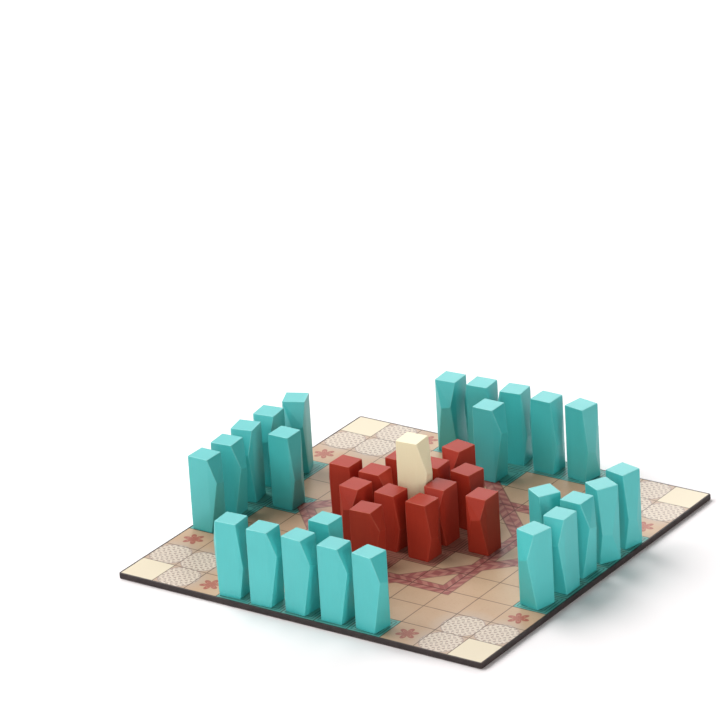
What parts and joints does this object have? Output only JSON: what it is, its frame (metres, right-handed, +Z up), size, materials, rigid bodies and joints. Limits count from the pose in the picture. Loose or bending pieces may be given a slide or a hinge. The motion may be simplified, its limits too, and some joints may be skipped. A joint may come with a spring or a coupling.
{
  "type": "hnefatafl board",
  "caption": "Flat rigid board for hnefatafl with a printed grid of squares, with faceted wooden men standing on it that lift off: teal attackers, red defenders and a pale king.",
  "frame": {"origin": "middle of the board's underside, on the table", "axes": "+Z up, +X along the near edge, +Y from the near edge to the far edge"},
  "size_m": [0.266, 0.266, 0.067],
  "materials": {
    "core_board": "matt grey pressed board",
    "dark_wrap": "dark brown wrap paper, satin",
    "printed_sheet": "printed paper with a satin coat",
    "teal_man": "satin paint on cut wood",
    "red_man": "satin paint on cut wood",
    "pale_man": "satin paint on cut wood"
  },
  "bodies": {
    "board": {"board_core": "core_board", "edge_wrap": "dark_wrap", "playing_sheet": "printed_sheet"},
    "attacker_near_1": {"attacker_near_1": "teal_man"},
    "attacker_near_2": {"attacker_near_2": "teal_man"},
    "attacker_near_3": {"attacker_near_3": "teal_man"},
    "attacker_near_4": {"attacker_near_4": "teal_man"},
    "attacker_near_5": {"attacker_near_5": "teal_man"},
    "attacker_near_6": {"attacker_near_6": "teal_man"},
    "attacker_right_1": {"attacker_right_1": "teal_man"},
    "attacker_right_2": {"attacker_right_2": "teal_man"},
    "attacker_right_3": {"attacker_right_3": "teal_man"},
    "attacker_right_4": {"attacker_right_4": "teal_man"},
    "attacker_right_5": {"attacker_right_5": "teal_man"},
    "attacker_right_6": {"attacker_right_6": "teal_man"},
    "attacker_far_1": {"attacker_far_1": "teal_man"},
    "attacker_far_2": {"attacker_far_2": "teal_man"},
    "attacker_far_3": {"attacker_far_3": "teal_man"},
    "attacker_far_4": {"attacker_far_4": "teal_man"},
    "attacker_far_5": {"attacker_far_5": "teal_man"},
    "attacker_far_6": {"attacker_far_6": "teal_man"},
    "attacker_left_1": {"attacker_left_1": "teal_man"},
    "attacker_left_2": {"attacker_left_2": "teal_man"},
    "attacker_left_3": {"attacker_left_3": "teal_man"},
    "attacker_left_4": {"attacker_left_4": "teal_man"},
    "attacker_left_5": {"attacker_left_5": "teal_man"},
    "attacker_left_6": {"attacker_left_6": "teal_man"},
    "defender_1": {"defender_1": "red_man"},
    "defender_2": {"defender_2": "red_man"},
    "defender_3": {"defender_3": "red_man"},
    "defender_4": {"defender_4": "red_man"},
    "defender_5": {"defender_5": "red_man"},
    "defender_6": {"defender_6": "red_man"},
    "defender_7": {"defender_7": "red_man"},
    "defender_8": {"defender_8": "red_man"},
    "defender_9": {"defender_9": "red_man"},
    "defender_10": {"defender_10": "red_man"},
    "defender_11": {"defender_11": "red_man"},
    "defender_12": {"defender_12": "red_man"},
    "king": {"king": "pale_man"}
  },
  "joints": [
    {"name": "attacker_near_1_lift", "type": "slide", "parent": "board", "child": "attacker_near_1", "axis": [0, 0, 1], "range_m": [0, 0.08]},
    {"name": "attacker_near_2_lift", "type": "slide", "parent": "board", "child": "attacker_near_2", "axis": [0, 0, 1], "range_m": [0, 0.08]},
    {"name": "attacker_near_3_lift", "type": "slide", "parent": "board", "child": "attacker_near_3", "axis": [0, 0, 1], "range_m": [0, 0.08]},
    {"name": "attacker_near_4_lift", "type": "slide", "parent": "board", "child": "attacker_near_4", "axis": [0, 0, 1], "range_m": [0, 0.08]},
    {"name": "attacker_near_5_lift", "type": "slide", "parent": "board", "child": "attacker_near_5", "axis": [0, 0, 1], "range_m": [0, 0.08]},
    {"name": "attacker_near_6_lift", "type": "slide", "parent": "board", "child": "attacker_near_6", "axis": [0, 0, 1], "range_m": [0, 0.08]},
    {"name": "attacker_right_1_lift", "type": "slide", "parent": "board", "child": "attacker_right_1", "axis": [0, 0, 1], "range_m": [0, 0.08]},
    {"name": "attacker_right_2_lift", "type": "slide", "parent": "board", "child": "attacker_right_2", "axis": [0, 0, 1], "range_m": [0, 0.08]},
    {"name": "attacker_right_3_lift", "type": "slide", "parent": "board", "child": "attacker_right_3", "axis": [0, 0, 1], "range_m": [0, 0.08]},
    {"name": "attacker_right_4_lift", "type": "slide", "parent": "board", "child": "attacker_right_4", "axis": [0, 0, 1], "range_m": [0, 0.08]},
    {"name": "attacker_right_5_lift", "type": "slide", "parent": "board", "child": "attacker_right_5", "axis": [0, 0, 1], "range_m": [0, 0.08]},
    {"name": "attacker_right_6_lift", "type": "slide", "parent": "board", "child": "attacker_right_6", "axis": [0, 0, 1], "range_m": [0, 0.08]},
    {"name": "attacker_far_1_lift", "type": "slide", "parent": "board", "child": "attacker_far_1", "axis": [0, 0, 1], "range_m": [0, 0.08]},
    {"name": "attacker_far_2_lift", "type": "slide", "parent": "board", "child": "attacker_far_2", "axis": [0, 0, 1], "range_m": [0, 0.08]},
    {"name": "attacker_far_3_lift", "type": "slide", "parent": "board", "child": "attacker_far_3", "axis": [0, 0, 1], "range_m": [0, 0.08]},
    {"name": "attacker_far_4_lift", "type": "slide", "parent": "board", "child": "attacker_far_4", "axis": [0, 0, 1], "range_m": [0, 0.08]},
    {"name": "attacker_far_5_lift", "type": "slide", "parent": "board", "child": "attacker_far_5", "axis": [0, 0, 1], "range_m": [0, 0.08]},
    {"name": "attacker_far_6_lift", "type": "slide", "parent": "board", "child": "attacker_far_6", "axis": [0, 0, 1], "range_m": [0, 0.08]},
    {"name": "attacker_left_1_lift", "type": "slide", "parent": "board", "child": "attacker_left_1", "axis": [0, 0, 1], "range_m": [0, 0.08]},
    {"name": "attacker_left_2_lift", "type": "slide", "parent": "board", "child": "attacker_left_2", "axis": [0, 0, 1], "range_m": [0, 0.08]},
    {"name": "attacker_left_3_lift", "type": "slide", "parent": "board", "child": "attacker_left_3", "axis": [0, 0, 1], "range_m": [0, 0.08]},
    {"name": "attacker_left_4_lift", "type": "slide", "parent": "board", "child": "attacker_left_4", "axis": [0, 0, 1], "range_m": [0, 0.08]},
    {"name": "attacker_left_5_lift", "type": "slide", "parent": "board", "child": "attacker_left_5", "axis": [0, 0, 1], "range_m": [0, 0.08]},
    {"name": "attacker_left_6_lift", "type": "slide", "parent": "board", "child": "attacker_left_6", "axis": [0, 0, 1], "range_m": [0, 0.08]},
    {"name": "defender_1_lift", "type": "slide", "parent": "board", "child": "defender_1", "axis": [0, 0, 1], "range_m": [0, 0.08]},
    {"name": "defender_2_lift", "type": "slide", "parent": "board", "child": "defender_2", "axis": [0, 0, 1], "range_m": [0, 0.08]},
    {"name": "defender_3_lift", "type": "slide", "parent": "board", "child": "defender_3", "axis": [0, 0, 1], "range_m": [0, 0.08]},
    {"name": "defender_4_lift", "type": "slide", "parent": "board", "child": "defender_4", "axis": [0, 0, 1], "range_m": [0, 0.08]},
    {"name": "defender_5_lift", "type": "slide", "parent": "board", "child": "defender_5", "axis": [0, 0, 1], "range_m": [0, 0.08]},
    {"name": "defender_6_lift", "type": "slide", "parent": "board", "child": "defender_6", "axis": [0, 0, 1], "range_m": [0, 0.08]},
    {"name": "defender_7_lift", "type": "slide", "parent": "board", "child": "defender_7", "axis": [0, 0, 1], "range_m": [0, 0.08]},
    {"name": "defender_8_lift", "type": "slide", "parent": "board", "child": "defender_8", "axis": [0, 0, 1], "range_m": [0, 0.08]},
    {"name": "defender_9_lift", "type": "slide", "parent": "board", "child": "defender_9", "axis": [0, 0, 1], "range_m": [0, 0.08]},
    {"name": "defender_10_lift", "type": "slide", "parent": "board", "child": "defender_10", "axis": [0, 0, 1], "range_m": [0, 0.08]},
    {"name": "defender_11_lift", "type": "slide", "parent": "board", "child": "defender_11", "axis": [0, 0, 1], "range_m": [0, 0.08]},
    {"name": "defender_12_lift", "type": "slide", "parent": "board", "child": "defender_12", "axis": [0, 0, 1], "range_m": [0, 0.08]},
    {"name": "king_lift", "type": "slide", "parent": "board", "child": "king", "axis": [0, 0, 1], "range_m": [0, 0.08]}
  ]
}
